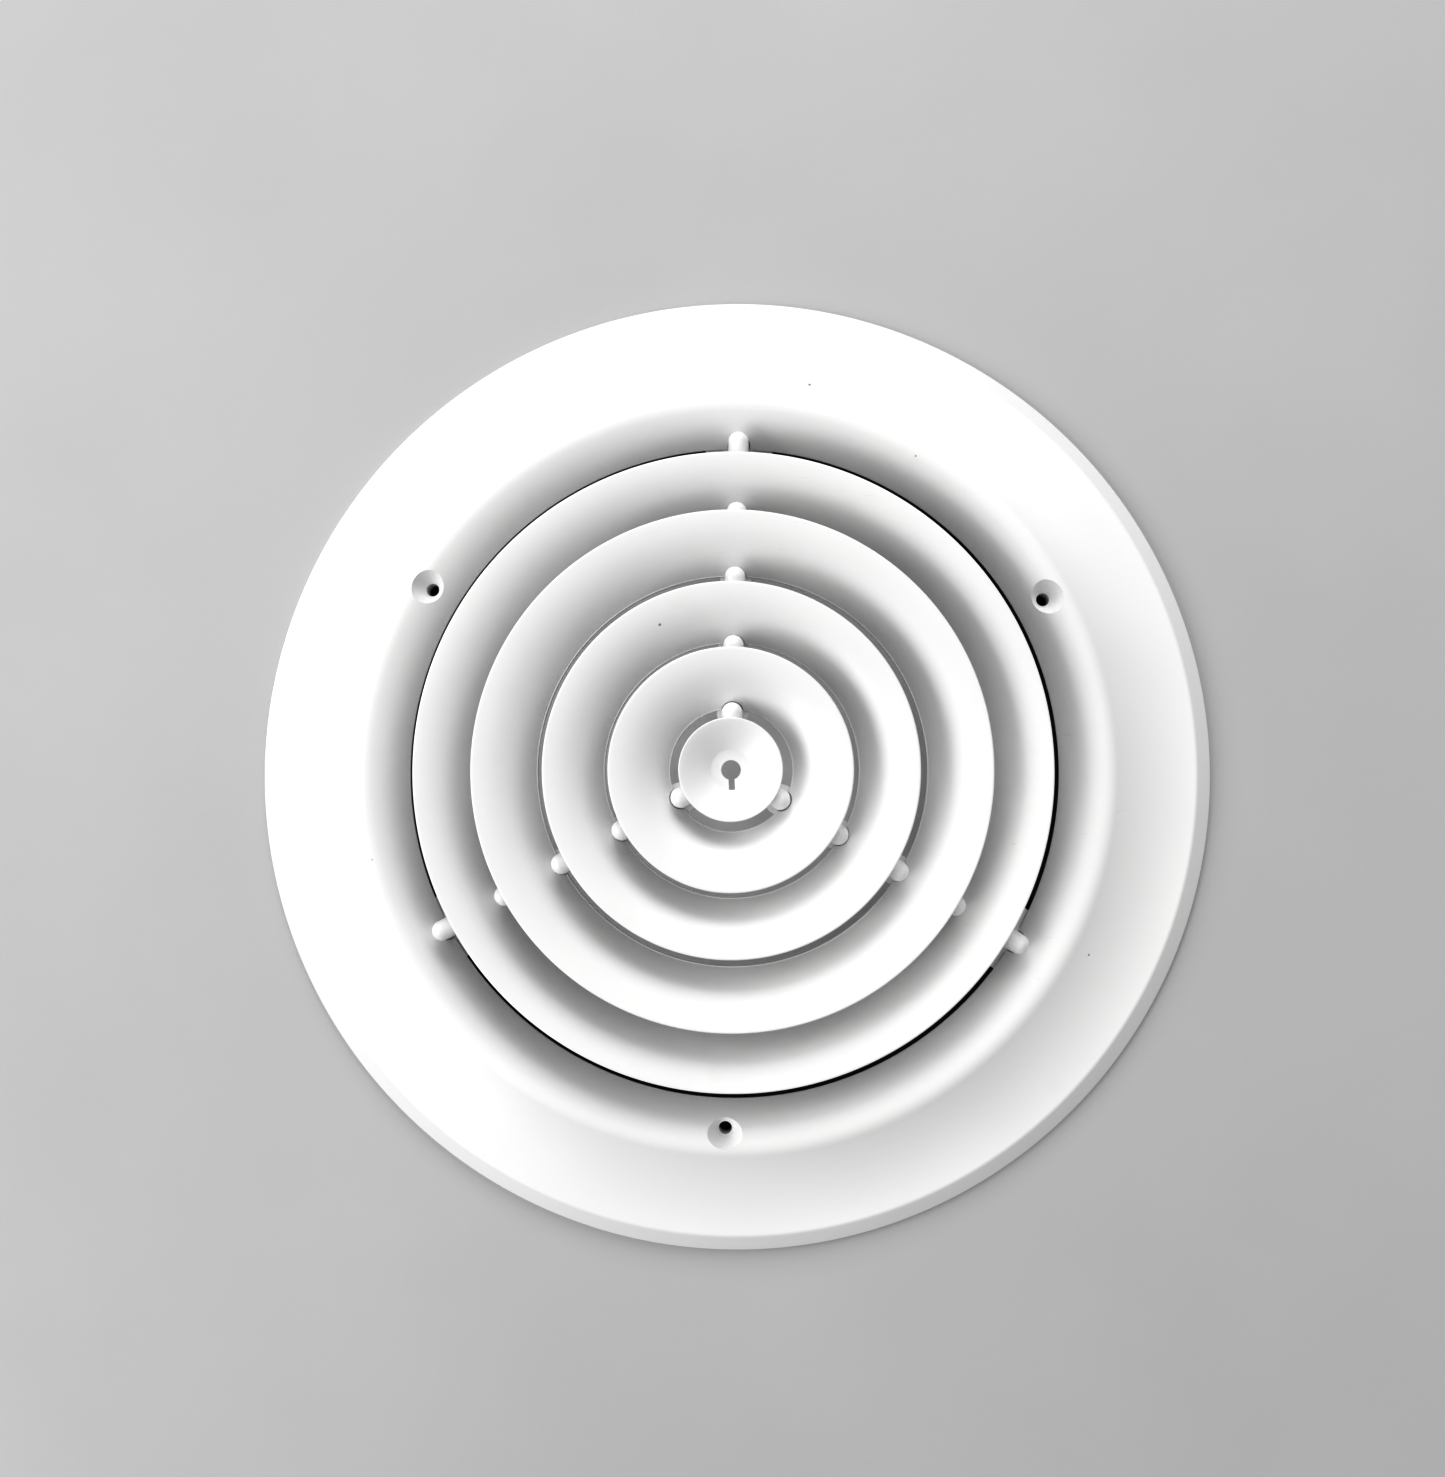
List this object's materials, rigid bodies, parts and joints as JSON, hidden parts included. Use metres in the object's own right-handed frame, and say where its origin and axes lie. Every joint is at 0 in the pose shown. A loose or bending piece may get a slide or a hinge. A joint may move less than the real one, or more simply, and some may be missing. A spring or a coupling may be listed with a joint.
{
  "type": "ceiling air diffuser",
  "caption": "Round white plastic ceiling diffuser: a flanged frame carries nested step-down cones and a centre disk with a keyhole, each plugged in on three round legs.",
  "frame": {"origin": "centre of the plane that meets the ceiling, at the bottom of the frame's rim", "axes": "+Z out of the ceiling into the room along the diffuser's axis, +Y towards one of the three leg arms"},
  "size_m": [0.2836, 0.2836, 0.0299],
  "materials": {
    "white_plastic": "satin moulded white plastic",
    "foam": "closed-cell black foam"
  },
  "bodies": {
    "frame": {"frame": "white_plastic", "ceiling_gasket": "foam"},
    "outer_cone": {"outer_cone": "white_plastic"},
    "second_cone": {"second_cone": "white_plastic"},
    "third_cone": {"third_cone": "white_plastic"},
    "inner_cone": {"inner_cone": "white_plastic"},
    "center_disk": {"center_disk": "white_plastic"}
  },
  "joints": [
    {"name": "outer_cone_pull", "type": "slide", "parent": "frame", "child": "outer_cone", "axis": [0, 0, 1], "range_m": [0, 0.0022]},
    {"name": "second_cone_pull", "type": "slide", "parent": "outer_cone", "child": "second_cone", "axis": [0, 0, 1], "range_m": [0, 0.0045]},
    {"name": "third_cone_pull", "type": "slide", "parent": "second_cone", "child": "third_cone", "axis": [0, 0, 1], "range_m": [0, 0.0045]},
    {"name": "inner_cone_pull", "type": "slide", "parent": "third_cone", "child": "inner_cone", "axis": [0, 0, 1], "range_m": [0, 0.0045]},
    {"name": "center_disk_pull", "type": "slide", "parent": "inner_cone", "child": "center_disk", "axis": [0, 0, 1], "range_m": [0, 0.0045]}
  ]
}
